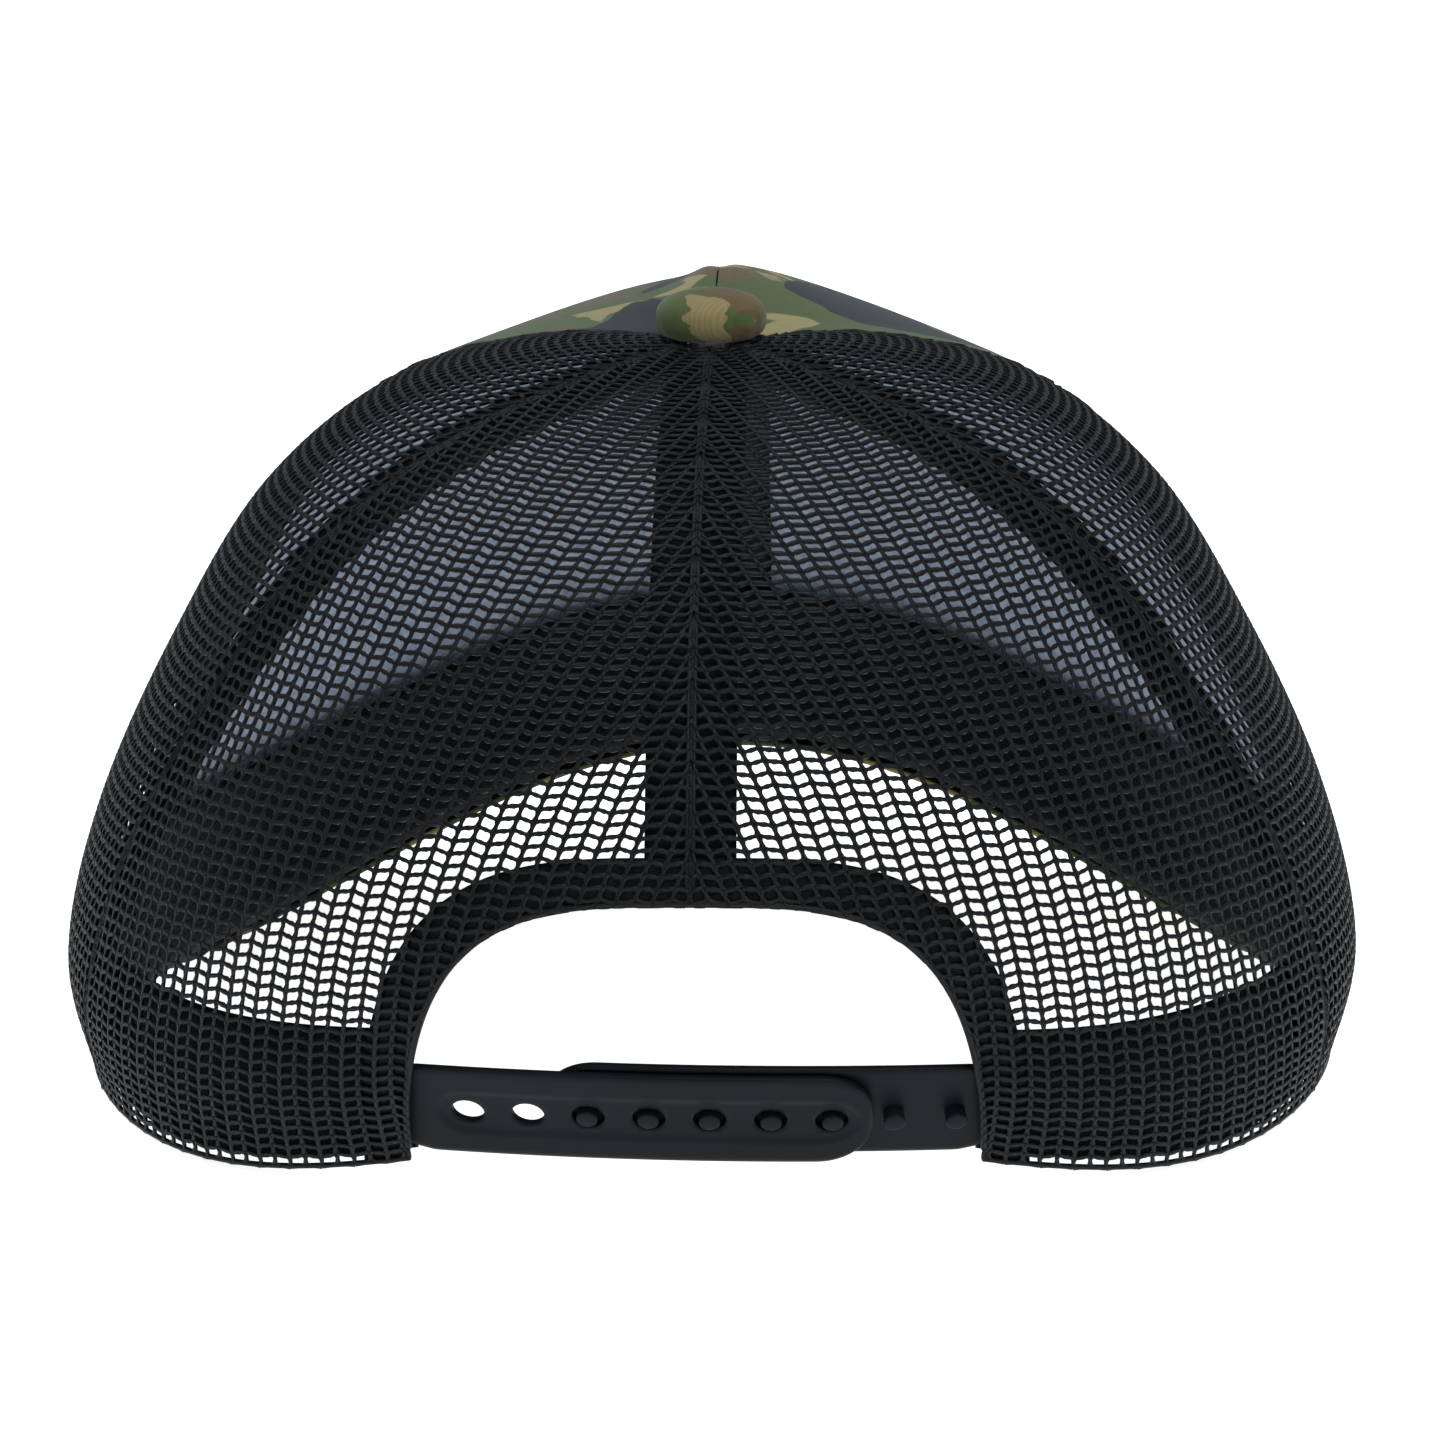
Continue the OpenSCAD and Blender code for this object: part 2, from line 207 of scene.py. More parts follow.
def knitted_net():
    # Warp-knitted polyester filament, dyed black: fine loops give a soft broken shine.
    made, tree = start_material("knitted_polyester_net_black")
    where = add(tree, "ShaderNodeTexCoord").outputs["Object"]
    loops = add(tree, "ShaderNodeTexNoise", [("Vector", where), ("Scale", 1900), ("Detail", 2)])
    tone = add(tree, "ShaderNodeTexNoise", [("Vector", where), ("Scale", 260), ("Detail", 2)])
    colour = colours(tree, tone.outputs["Fac"], [(0.3, "#040506"), (0.7, "#0d0f12")])
    bump = add(tree, "ShaderNodeBump", [
        ("Strength", 0.6), ("Distance", 0.00018), ("Height", loops.outputs["Fac"])])
    shader = add(tree, "ShaderNodeBsdfPrincipled", [
        ("Base Color", colour), ("Roughness", 0.5), ("Sheen Weight", 0.02),
        ("Sheen Roughness", 0.4), ("Specular IOR Level", 0.2), ("Normal", bump.outputs[0])])
    close_material(tree, shader)
    return made


def woven(name, dark, light, rough, pitch_mm, depth_mm, sheen):
    # Plain or twill weave in one dyed colour: crossing threads on the cloth's own flat map.
    made, tree = start_material(name)
    flat = add(tree, "ShaderNodeUVMap", uv_map="cloth").outputs[0]
    where = add(tree, "ShaderNodeTexCoord").outputs["Object"]
    turned = add(tree, "ShaderNodeMapping", [("Vector", flat), ("Rotation", (0, 0, 0.9))])
    wave = [("Scale", BANDS / pitch_mm), ("Distortion", 0.0)]
    rib = add(tree, "ShaderNodeTexWave", [("Vector", turned.outputs[0])] + wave)
    cross = add(tree, "ShaderNodeTexWave", [("Vector", flat)] + wave, bands_direction="Y")
    fuzz = add(tree, "ShaderNodeTexNoise", [("Vector", where), ("Scale", 700), ("Detail", 3)])
    threads = add(tree, "ShaderNodeMath", [(0, rib.outputs["Fac"]), (1, cross.outputs["Fac"])])
    height = add(tree, "ShaderNodeMath", [(0, threads.outputs[0]), (1, fuzz.outputs["Fac"])])
    colour = colours(tree, fuzz.outputs["Fac"], [(0.3, dark), (0.72, light)])
    bump = add(tree, "ShaderNodeBump", [
        ("Strength", 0.5), ("Distance", depth_mm * MM), ("Height", height.outputs[0])])
    shader = add(tree, "ShaderNodeBsdfPrincipled", [
        ("Base Color", colour), ("Roughness", rough), ("Sheen Weight", sheen),
        ("Sheen Roughness", 0.5), ("Specular IOR Level", 0.12), ("Normal", bump.outputs[0])])
    close_material(tree, shader)
    return made


TWILL_PITCH = 0.6
PATCH_EDGE = 0.008  # how soft a printed patch's edge is
# One printed patch colour each: offset of its noise, noise scale, edge value, colour, and how
# strongly the colour leans to the cap's right (per metre).
PANEL_PRINT = (
    ((0.0, 0.0, 0.0), 52, 0.585, "#8f8558", 0.0),
    ((0.31, 0.12, 0.07), 55, 0.575, "#5d4f33", -0.6),
    ((0.77, 0.41, 0.53), 48, 0.55, "#1b2124", -0.7),
)
BUTTON_PRINT = (
    ((0.2, 0.1, 0.0), 130, 0.54, "#857750", 6.0),
    ((0.61, 0.32, 0.17), 120, 0.55, "#5b4b2e", 28.0),
)


def printed_twill(name, patches):
    # Cotton twill printed in flat colours: hard-edged patches over a fine slanted rib, with
    # painted highlight on the rib tops and painted shade in its grooves.
    made, tree = start_material(name)
    where = add(tree, "ShaderNodeTexCoord").outputs["Object"]
    flat = add(tree, "ShaderNodeUVMap", uv_map="cloth").outputs[0]
    across = add(tree, "ShaderNodeSeparateXYZ", [("Vector", where)]).outputs["X"]
    colour = linear("#4a5630")
    for offset, scale, edge, code, lean in patches:
        moved = add(tree, "ShaderNodeMapping", [
            ("Vector", where), ("Location", offset), ("Scale", (1, 1, 1.5))])
        blob = add(tree, "ShaderNodeTexNoise", [
            ("Vector", moved.outputs[0]), ("Scale", scale), ("Detail", 3.2),
            ("Roughness", 0.42), ("Distortion", 0.6)])
        leaning = add(tree, "ShaderNodeMath", [(0, across), (1, lean), (2, blob.outputs["Fac"])],
                      operation="MULTIPLY_ADD")
        edged = add(tree, "ShaderNodeMapRange", [
            ("Value", leaning.outputs[0]), ("From Min", edge), ("From Max", edge + PATCH_EDGE)])
        mixed = add(tree, "ShaderNodeMix", data_type="RGBA")
        tree.links.new(edged.outputs[0], mixed.inputs["Factor"])
        if isinstance(colour, tuple):
            mixed.inputs[6].default_value = colour
        else:
            tree.links.new(colour, mixed.inputs[6])
        mixed.inputs[7].default_value = linear(code)
        colour = mixed.outputs[2]
    turned = add(tree, "ShaderNodeMapping", [("Vector", flat), ("Rotation", (0, 0, 0.8))])
    rib = add(tree, "ShaderNodeTexWave", [
        ("Vector", turned.outputs[0]), ("Scale", BANDS / TWILL_PITCH), ("Distortion", 0.4),
        ("Detail", 1)])
    fuzz = add(tree, "ShaderNodeTexNoise", [("Vector", where), ("Scale", 900), ("Detail", 3)])
    relief = add(tree, "ShaderNodeMath", [(0, rib.outputs["Fac"]), (1, fuzz.outputs["Fac"])])
    # Painted highlight and painted shade: the printed colour is scaled lighter on the rib tops and
    # darker in the grooves between them, and varies at random with the fibre noise.
    shade = add(tree, "ShaderNodeMapRange", [
        ("Value", relief.outputs[0]), ("From Min", 0.3), ("From Max", 1.6),
        ("To Min", 0.88), ("To Max", 1.08)])
    lit = add(tree, "ShaderNodeVectorMath", [(0, colour)], operation="SCALE")
    tree.links.new(shade.outputs[0], lit.inputs["Scale"])
    bump = add(tree, "ShaderNodeBump", [
        ("Strength", 0.3), ("Distance", 0.00005), ("Height", relief.outputs[0])])
    shader = add(tree, "ShaderNodeBsdfPrincipled", [
        ("Base Color", lit.outputs[0]), ("Roughness", 0.85), ("Sheen Weight", 0.15),
        ("Sheen Roughness", 0.5), ("Specular IOR Level", 0.2), ("Normal", bump.outputs[0])])
    close_material(tree, shader)
    return made


def moulded_strap():
    # Injection-moulded polyethylene in charcoal black: satin skin with a faint uneven gloss.
    made, tree = start_material("moulded_polyethylene_black")
    where = add(tree, "ShaderNodeTexCoord").outputs["Object"]
    grain = add(tree, "ShaderNodeTexNoise", [("Vector", where), ("Scale", 900), ("Detail", 3)])
    cloud = add(tree, "ShaderNodeTexNoise", [("Vector", where), ("Scale", 70), ("Detail", 2)])
    rough = add(tree, "ShaderNodeMapRange", [
        ("Value", cloud.outputs["Fac"]), ("To Min", 0.38), ("To Max", 0.52)])
    colour = colours(tree, cloud.outputs["Fac"], [(0.3, "#0d1113"), (0.7, "#12171a")])
    bump = add(tree, "ShaderNodeBump", [
        ("Strength", 0.25), ("Distance", 0.00004), ("Height", grain.outputs["Fac"])])
    shader = add(tree, "ShaderNodeBsdfPrincipled", [
        ("Base Color", colour), ("Roughness", rough.outputs[0]), ("IOR", 1.52),
        ("Specular IOR Level", 0.07), ("Normal", bump.outputs[0])])
    close_material(tree, shader)
    return made


def pressed_metal():
    # Pressed zinc-plated steel: dull silver, with faint drawing marks.
    made, tree = start_material("pressed_zinc_plated_steel")
    where = add(tree, "ShaderNodeTexCoord").outputs["Object"]
    marks = add(tree, "ShaderNodeTexNoise", [("Vector", where), ("Scale", 400), ("Detail", 3)])
    rough = add(tree, "ShaderNodeMapRange", [
        ("Value", marks.outputs["Fac"]), ("To Min", 0.3), ("To Max", 0.5)])
    shader = add(tree, "ShaderNodeBsdfPrincipled", [
        ("Base Color", linear("#a9abae")), ("Metallic", 1.0), ("Roughness", rough.outputs[0])])
    close_material(tree, shader)
    return made


def plain_floor():
    # Matt white acrylic, lit evenly from below so that shadows stay faint.
    made, tree = start_material("lit_white_acrylic")
    shader = add(tree, "ShaderNodeBsdfPrincipled", [
        ("Base Color", linear("#f4f4f4")), ("Roughness", 0.9), ("Specular IOR Level", 0.1),
        ("Emission Color", linear("#ffffff")), ("Emission Strength", 0.9)])
    close_material(tree, shader)
    return made


NET = knitted_net()
TWILL = printed_twill("printed_cotton_twill", PANEL_PRINT)
BUTTON_TWILL = printed_twill("printed_cotton_twill_button", BUTTON_PRINT)
BUCKRAM = woven("stiffened_cotton_buckram_grey", "#8590a0", "#a8b2c2", 0.85, 1.1, 0.15, 0.02)
TAPE = woven("woven_polyester_tape_black", "#08090b", "#121418", 0.75, 0.8, 0.12, 0.01)
BAND = woven("brushed_cotton_band_black", "#060708", "#0e0f12", 0.9, 0.7, 0.1, 0.01)
THREAD = woven("polyester_thread_black", "#15171b", "#2a2d33", 0.5, 0.4, 0.05, 0.1)
STRAP = moulded_strap()
METAL = pressed_metal()


# ---------------------------------------------------------------- making pieces
def unit_grid(columns, rows):
    """A flat grid from 0 to 1 each way."""
    bm = bmesh.new()
    bmesh.ops.create_grid(bm, x_segments=columns, y_segments=rows, size=0.5)
    bmesh.ops.translate(bm, vec=(0.5, 0.5, 0), verts=bm.verts)
    return bm


def read_points(bm):
    return np.array([v.co for v in bm.verts])


def write_points(bm, points):
    for vert, point in zip(bm.verts, points):
        vert.co = point


def make_piece(name, bm, material, body="crown", flat=None, thickness=0.0, subdivide=0):
    """Makes the object. flat is each vertex's place on the uncut cloth in mm."""
    mesh = bpy.data.meshes.new(name)
    bm.to_mesh(mesh)
    bm.free()
    piece = bpy.data.objects.new(name, mesh)
    scene.collection.objects.link(piece)
    mesh.materials.append(material)
    mesh.polygons.foreach_set("use_smooth", np.ones(len(mesh.polygons), bool))
    corners = np.empty(len(mesh.loops), int)
    mesh.loops.foreach_get("vertex_index", corners)
    if flat is None:
        points = np.empty(len(mesh.vertices) * 3)
        mesh.vertices.foreach_get("co", points)
        flat = points.reshape(-1, 3)[:, :2] / MM
    layer = mesh.uv_layers.new(name="cloth")
    layer.data.foreach_set("uv", (flat[corners] * MM).ravel())
    if subdivide:
        rounding = piece.modifiers.new("rounding", "SUBSURF")
        rounding.levels = rounding.render_levels = subdivide
    if thickness:
        wall = piece.modifiers.new("thickness", "SOLIDIFY")
        wall.thickness = thickness * MM
        wall.offset = -1
    if body:
        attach(piece, body)
    return piece


NARROWEST_SHEET = 10  # a tape narrower than this hangs by its stitches alone


def declare_cloth(piece, flat, area=None):
    """Works out a sewn cloth's width, length and area, and keeps none of them: flat is its place
    on the uncut cloth in mm.
    """
    wide, long = sorted(np.ptp(flat, axis=0))
    if wide < NARROWEST_SHEET:
        return
    area = area or sum(face.area for face in piece.data.polygons) / MM**2
    long = max(long, 1.01 * area / wide)


def mirrored(points, bm, left):
    """Puts a right-hand piece on the left, with its faces still outward."""
    if left:
        points = points * np.array([-1, 1, 1])
        bmesh.ops.reverse_faces(bm, faces=bm.faces)
    return points


def cloth_patch(name, columns, rows, place, material, thickness, left=False):
    """A patch of cloth: place(s, w) gives angle, height, depth and the flat cloth place."""
    bm = unit_grid(columns, rows)
    grid = read_points(bm)
    angle, height, depth, flat = place(grid[:, 0], grid[:, 1])
    points = mirrored(crown(angle, height, depth), bm, left)
    write_points(bm, points * MM)
    piece = make_piece(name, bm, material, flat=flat, thickness=thickness)
    declare_cloth(piece, flat)
    return piece


def net_edge(name, path, thick, left=False):
    """A folded edge of the net: a round roll along a path."""
    if left:
        path = path * np.array([-1, 1, 1])
    curve = bpy.data.curves.new(name, "CURVE")
    curve.dimensions = "3D"
    curve.bevel_depth = thick * MM / 2
    curve.bevel_resolution = 1
    curve.use_fill_caps = True
    spline = curve.splines.new("POLY")
    spline.points.add(len(path) - 1)
    spline.points.foreach_set("co", np.c_[path * MM, np.ones(len(path))].ravel())
    piece = bpy.data.objects.new(name, curve)
    scene.collection.objects.link(piece)
    curve.materials.append(NET)
    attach(piece, "crown")


def run_along(path):
    """Each point's distance along a path."""
    return np.r_[0, np.cumsum(np.linalg.norm(np.diff(path, axis=0), axis=1))]


def stitches(name, path, out, pitch, length, thick):
    """A row of stitches lying along a path, one every pitch."""
    run = run_along(path)
    bm = bmesh.new()
    for start in np.arange(pitch / 2, run[-1] - pitch / 2, pitch):
        ends = [np.array([np.interp(start + d, run, path[:, k]) for k in range(3)])
                for d in (-0.3, 0.3)]
        normal = np.array([np.interp(start, run, out[:, k]) for k in range(3)])
        along = Vector(ends[1] - ends[0]).normalized()
        across = Vector(normal).cross(along).normalized()
        up = along.cross(across)
        turn = Matrix((along, across, up)).transposed().to_4x4()
        size = Matrix.Diagonal((length / 2, thick / 2, thick / 2, 1))
        place = Matrix.Translation(Vector((ends[0] + ends[1]) / 2))
        bmesh.ops.create_uvsphere(
            bm, u_segments=6, v_segments=4, radius=1, matrix=place @ turn @ size)
    bmesh.ops.scale(bm, vec=(MM, MM, MM), verts=bm.verts)
    make_piece(name, bm, THREAD)


# ---------------------------------------------------------------- the net panels
WALE, COURSE = 2.4, 1.78  # from strand to strand, and from rung to rung
STRAND, RUNG = 0.62, 0.32  # their widths
ZIGZAG = 0.38  # how far a rung steps up from one strand to the next, as a share of COURSE
NET_THICK, NET_RIDGE = 0.55, 0.16
HOLE_CREASE = 0.55  # keeps some corner in the rounded holes
SEAM_GAP = 0.25  # from a net's cut edge to the seam's middle
ARCH_GAP = 0.3  # from the net's cut edge to the arch
ARCH_SIDE = 60  # no part of the arch is further round than this angle


def arch_size(angle, height):
    """How far out from the arch's middle: under 1 is inside the arch's cut edge."""
    x = radius(angle, height) * np.sin(np.radians(angle))
    size = (
        (abs(x) / (ARCH_HALF + ARCH_GAP)) ** ARCH_SQUARE
        + (height / T_PER_MM / (ARCH_HIGH + ARCH_GAP)) ** ARCH_SQUARE
    ) ** (1 / ARCH_SQUARE)
    return x, np.where(angle < ARCH_SIDE, size, 1)


def net_panel(node, from_seam, to_seam, left, arch):
    """Open knitted net cut to a gore. Upright strands follow the gore's middle line and the
    rungs step up and down between them, so each hole is a small leaning lozenge."""
    heights = np.linspace(0, T_TOP, 300)
    middle = (from_seam(heights) + to_seam(heights)) / 2
    run = run_along(crown(middle, heights, 0))
    half = np.radians((to_seam(heights) - from_seam(heights)) / 2) * radius(middle, heights)
    columns = 2 * int(np.ceil(half.max() * 1.12 / WALE))
    rows = int(run[-1] / COURSE)
    bm = unit_grid(columns, rows)
    grid = read_points(bm)
    column = np.rint(grid[:, 0] * columns).astype(int)
    u = (grid[:, 0] - 0.5) * columns * WALE
    v = grid[:, 1] * rows * COURSE + np.where(column % 2, ZIGZAG * COURSE, 0)
    height = np.interp(v, run, heights)
    centre = np.interp(height, heights, middle)
    angle = centre + degrees_wide(centre, height, u)
    low = from_seam(height) + degrees_wide(centre, height, SEAM_GAP)
    high = to_seam(height) - degrees_wide(centre, height, SEAM_GAP)
    outside = (angle < low) | (angle > high)
    if arch:
        outside |= arch_size(angle, height)[1] < 1
    write_points(bm, np.c_[u * RUNG / STRAND, v, 0 * u])
    bm.verts.index_update()
    gone = [f for f in bm.faces if all(outside[c.index] for c in f.verts)]
    bmesh.ops.delete(bm, geom=gone, context="FACES")
    ridge = list(bm.verts)
    holes = list(bm.faces)
    bmesh.ops.inset_individual(bm, faces=holes, thickness=RUNG / 2, use_even_offset=True)
    for vert in ridge:
        vert.co.z = NET_RIDGE
    crease = bm.verts.layers.float.new("crease_vert")
    for vert in {c for f in holes for c in f.verts}:
        vert[crease] = HOLE_CREASE
    bmesh.ops.delete(bm, geom=holes, context="FACES")
    flat = read_points(bm) * np.array([STRAND / RUNG, 1, 1])
    height = np.interp(flat[:, 1], run, heights)
    centre = np.interp(height, heights, middle)
    low = from_seam(height) + degrees_wide(centre, height, SEAM_GAP)
    high = to_seam(height) - degrees_wide(centre, height, SEAM_GAP)
    angle = np.clip(centre + degrees_wide(centre, height, flat[:, 0]), low, high)
    if arch:
        x, size = arch_size(angle, height)
        inside = size < 1
        size = np.where(inside, size, 1)
        height = height / size
        angle = np.where(inside, angle_of_x(x / size, height), angle)
    cut = flat[:, :2]
    cut_area = len(holes) * WALE * COURSE
    points = mirrored(crown(angle, height, 0.2 - flat[:, 2]), bm, left)
    write_points(bm, points * MM)
    bmesh.ops.remove_doubles(bm, verts=bm.verts, dist=0.04 * MM)
    bmesh.ops.dissolve_degenerate(bm, edges=bm.edges, dist=0.02 * MM)
    flat = read_points(bm)[:, :2] / MM
    piece = make_piece(
        node + "_net", bm, NET, flat=flat, thickness=NET_THICK, subdivide=1)
    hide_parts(node)
    declare_cloth(piece, cut, cut_area)


for left, hand in ((True, "left"), (False, "right")):
    net_panel(f"back_mesh_{hand}", back_centre, side_seam, left, True)
    net_panel(f"side_mesh_{hand}", side_seam, front_seam, left, False)

# Folded edges of the net: a thin roll each side of every seam, round the arch and at the hem
ROLL_DEPTH, FROM_SEAM = 0.3, 0.42
SEAM_ROLL, HEM_ROLL, ARCH_ROLL = 0.55, 0.8, 1.0
ALMOST_FLUSH = 0.002  # height share at which the hem and the lower seam ends lie
for left, hand in ((True, "left"), (False, "right")):
    for name, seam, start, sides in (
        ("back_seam", back_centre, 0.33, (1,)),
        ("side_seam", side_seam, ALMOST_FLUSH, (-1, 1)),
        ("front_seam", front_seam, ALMOST_FLUSH, (-1,)),
    ):
        for side in sides:
            heights = np.linspace(start, 0.95, 140)
            angle = seam(heights) + side * degrees_wide(seam(heights), heights, FROM_SEAM)
            label = "a" if side < 0 else "b"
            net_edge(f"{name}_edge_{label}_{hand}", crown(angle, heights, ROLL_DEPTH),
                     SEAM_ROLL, left)
    arch_end = float(angle_of_x(ARCH_HALF + ARCH_GAP, 0.004))
    for name, start, end in (
        ("back_hem", arch_end, side_seam(0.0) - 0.3),
        ("side_hem", side_seam(0.0) + 0.3, front_seam(0.0) - 0.3),
    ):
        angle = np.linspace(start, end, 90)
        net_edge(f"{name}_edge_{hand}", crown(angle, ALMOST_FLUSH, ROLL_DEPTH), HEM_ROLL, left)
angle, height = arch_place(np.linspace(-89.5, 89.5, 240), 0.25)
net_edge("arch_edge", crown(angle, height, 0.45), ARCH_ROLL)


# ---------------------------------------------------------------- cloth panels
DIP_WIDTH = 1.2  # how far from a seam the cloth sinks towards it
FOLD_AT, FOLD_LONG = 0.85, 0.08  # height shares of the crest's raised fold
FOLD_STEEP = 3.5


def between(first, second, start, end, long, dip=0.0, base=0.0, fold=0.0, steep=False):
    """Places for a patch between two seams, sunk by dip where it meets each seam. Near the
    crest it rises by fold towards the second seam, over a few mm only if steep."""
    def place(s, w):
        height = start + (end - start) * w
        a, b = first(height), second(height)
        inset = degrees_wide((a + b) / 2, height, 0.1)
        angle = a + inset + (b - a - 2 * inset) * s
        width = np.radians(b - a) * radius((a + b) / 2, height)
        edge = np.minimum(s, 1 - s) * width
        depth = base + dip * np.exp(-((edge / DIP_WIDTH) ** 2))
        if steep:
            rise = np.exp(-((edge / FOLD_STEEP) ** 2)) * (s > 0.5)
        else:
            rise = np.clip(s * 1.4 - 0.4, 0, 1)
        depth -= fold * rise * np.exp(-(((height - FOLD_AT) / FOLD_LONG) ** 2))
        return angle, height, depth, np.c_[(s - 0.5) * width, w * long]
    return place


for left, hand in ((True, "left"), (False, "right")):
    panel = cloth_patch(
        f"front_panel_{hand}_cloth", 90, 110,
        between(front_seam, front_centre, 0.0, T_TOP, 150, dip=0.55, fold=2.2, steep=left),
        TWILL, 0.85, left)
    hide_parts(f"front_panel_{hand}")
    lining = cloth_patch(
        f"front_buckram_{hand}_cloth", 60, 80,
        between(front_seam, front_centre, 0.02, 0.95, 140, base=1.1),
        BUCKRAM, 0.6, left)
    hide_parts(f"front_buckram_{hand}")


TAPE_END, TAPE_W, TAPE_L, TAPE_BOW = 0.955, 12, 130, 0.35
TAPE_WIDEST = 18  # degrees each side, where the tapes meet at the top


def tape_piece(node, seam, start, depth, left=False):
    """A tape behind a seam, bowed a little towards the net along its edges."""
    def place(s, w):
        height = start + (TAPE_END - start) * w
        middle = seam(height)
        half = np.minimum(degrees_wide(middle, height, TAPE_W / 2), TAPE_WIDEST)
        bow = TAPE_BOW * (2 * s - 1) ** 2
        return middle + half * (2 * s - 1), height, depth - bow, np.c_[s * TAPE_W, w * TAPE_L]
    piece = cloth_patch(node + "_tape", 12, 120, place, TAPE, 0.45, left)
    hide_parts(node)


tape_piece("seam_tape_back", back_centre, 0.36, 1.5)
tape_piece("seam_tape_front_centre", front_centre, 0.02, 2.3)
for left, hand in ((True, "left"), (False, "right")):
    tape_piece(f"seam_tape_side_{hand}", side_seam, 0.02, 1.5, left)
    tape_piece(f"seam_tape_front_{hand}", front_seam, 0.02, 2.3, left)


BAND_W, BAND_L, BAND_FOOT, BAND_DEPTH = 23, 480, 0.004, 3.5
BAND_START = float(angle_of_x(ARCH_HALF + 1, 0.05))


def band_top(angle):
    """The sweatband's upper edge: the crown is steeper in front, so its share grows."""
    return BAND_W * T_PER_MM * (1.05 + 0.42 * (1 - np.cos(np.radians(angle))) / 2)


def band_place(s, w):
    """Sweatband: folded at both edges, sewn down at the foot and wavy along the free edge."""
    angle = BAND_START + (360 - 2 * BAND_START) * s
    height = BAND_FOOT + (band_top(angle) - BAND_FOOT) * w
    fold = 0.5 * np.clip(1 - w / 0.12, 0, 1) ** 2 + 0.5 * np.clip((w - 0.88) / 0.12, 0, 1) ** 2
    wave = 0.25 * np.sin(np.radians(angle * 9)) * w
    sewn = 2.1 * np.clip(1 - w / 0.1, 0, 1) ** 2
    return angle, height, BAND_DEPTH + fold + wave - sewn, np.c_[s * BAND_L, w * BAND_W]


sweatband = cloth_patch("sweatband_cloth", 300, 16, band_place, BAND, 1.2)
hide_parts("sweatband")


ARCH_BAND_W, ARCH_BAND_L, ARCH_BAND_DEPTH = 6.1, 190, 1.15


def arch_band_place(s, w):
    angle, height = arch_place(90 * (2 * s - 1), 0.25 + ARCH_BAND_W * w)
    return angle, height, ARCH_BAND_DEPTH + 0 * s, np.c_[s * ARCH_BAND_L, w * 6]


arch_band = cloth_patch("arch_binding_cloth", 240, 6, arch_band_place, TAPE, 0.5)
arch_band.data.flip_normals()
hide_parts("arch_binding")


# ---------------------------------------------------------------- visor
TIP_ANGLE, TIP_W = 118.0, 4.0
EDGE_HEIGHT, EDGE_DROOP, EDGE_LIFT, EDGE_SQUARE = 24.0, 33.0, 15.5, 2.25
VISOR_HALF, VISOR_L = 80.0, 70.0
VISOR_Y = CROWN_Y + 46
VISOR_REACH = CROWN_Y + 97 + VISOR_L - VISOR_Y
COVER_HIGH = 1.85  # from the board's middle to a cover's outer face
HEM_GAP = 0.8  # from the crown's hem to the visor's inner edge


def hem_edge(u):
    return outline(station(0 * u), 180 - (180 - TIP_ANGLE) * u)


def outer_edge(u):
    s = np.sign(u) * abs(np.sin(np.radians(90 * u))) ** (2 / EDGE_SQUARE)
    c = np.clip(np.cos(np.radians(90 * u)), 0, 1) ** (2 / EDGE_SQUARE)
    z = EDGE_HEIGHT - EDGE_DROOP * s**2 + EDGE_LIFT * abs(s) ** 12
    return np.stack([(VISOR_HALF + TIP_W) * s, VISOR_Y + VISOR_REACH * c, z], -1)


def visor_middle(u, v):
    a, b = hem_edge(u), outer_edge(u)
    gap = HEM_GAP / np.linalg.norm(b - a, axis=-1)
    return a + (b - a) * (v + (1 - v) * gap)[..., None]


def visor_up(u, v):
    du = visor_middle(np.minimum(u + 0.02, 1), v) - visor_middle(np.maximum(u - 0.02, -1), v)
    return unit(np.cross(du, visor_middle(u, 1 + 0 * v) - visor_middle(u, 0 * v)))


def visor_span(u):
    """The visor's width from its outer edge to the hem."""
    return np.linalg.norm(outer_edge(u) - hem_edge(u), axis=-1)


def rounded(distance, reach):
    """From 0 at an edge to 1 at reach, like a quarter circle."""
    return np.sqrt(1 - np.clip(1 - distance / reach, 0, 1) ** 2)


VISOR_HALF_WIDE = 88.0
COVER_END = 0.985  # share of the hem's run that the covers reach
STITCH_ROWS = (4.5, 12, 19.5, 27, 34.5, 42)  # from the outer edge


def visor_cover(node, side):
    """One cloth cover: it bends over the board's edge and sinks along each row of stitches."""
    bm = unit_grid(180, 96)
    grid = read_points(bm)
    u = COVER_END * (2 * grid[:, 0] - 1)
    v = 1 - (1 - grid[:, 1]) ** 1.25
    from_edge = (1 - v) * visor_span(u)
    high = COVER_HIGH * rounded(from_edge, 1.9)
    for row in STITCH_ROWS:
        high = high - 0.35 * np.exp(-(((from_edge - row) / 0.8) ** 2))
    high = np.maximum(high * rounded((COVER_END - abs(u)) * VISOR_HALF_WIDE, 2.5), 0.05)
    points = visor_middle(u, v) + side * high[:, None] * visor_up(u, v)
    write_points(bm, points * MM)
    if side > 0:
        bmesh.ops.reverse_faces(bm, faces=bm.faces)
    flat = np.c_[points[:, 0], from_edge]
    piece = make_piece(node + "_cloth", bm, TWILL, flat=flat, thickness=0.7)
    declare_cloth(piece, flat)
    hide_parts(node)


STITCH_SUNK = 0.3
visor_cover("visor_top_cover", 1)
visor_cover("visor_under_cover", -1)
for side, label in ((1, "top"), (-1, "under")):
    for number, row in enumerate(STITCH_ROWS):
        u = np.linspace(-0.95, 0.95, 400)
        u = u[visor_span(u) > row + 2.5]
        v = 1 - row / visor_span(u)
        up = side * visor_up(u, v)
        path = visor_middle(u, v) + (COVER_HIGH - STITCH_SUNK) * up
        stitches(f"visor_stitch_{label}_{number}", path, up, 3.0, 2.5, 0.42)


# ---------------------------------------------------------------- button
BUTTON_Z, BUTTON_R, BUTTON_H = 103.8, 7.75, 6.6
BUTTON_WAIST = 0.42 * BUTTON_H  # height of its widest ring
BUTTON_SKIRT = 0.9  # how far its cloth reaches under the core


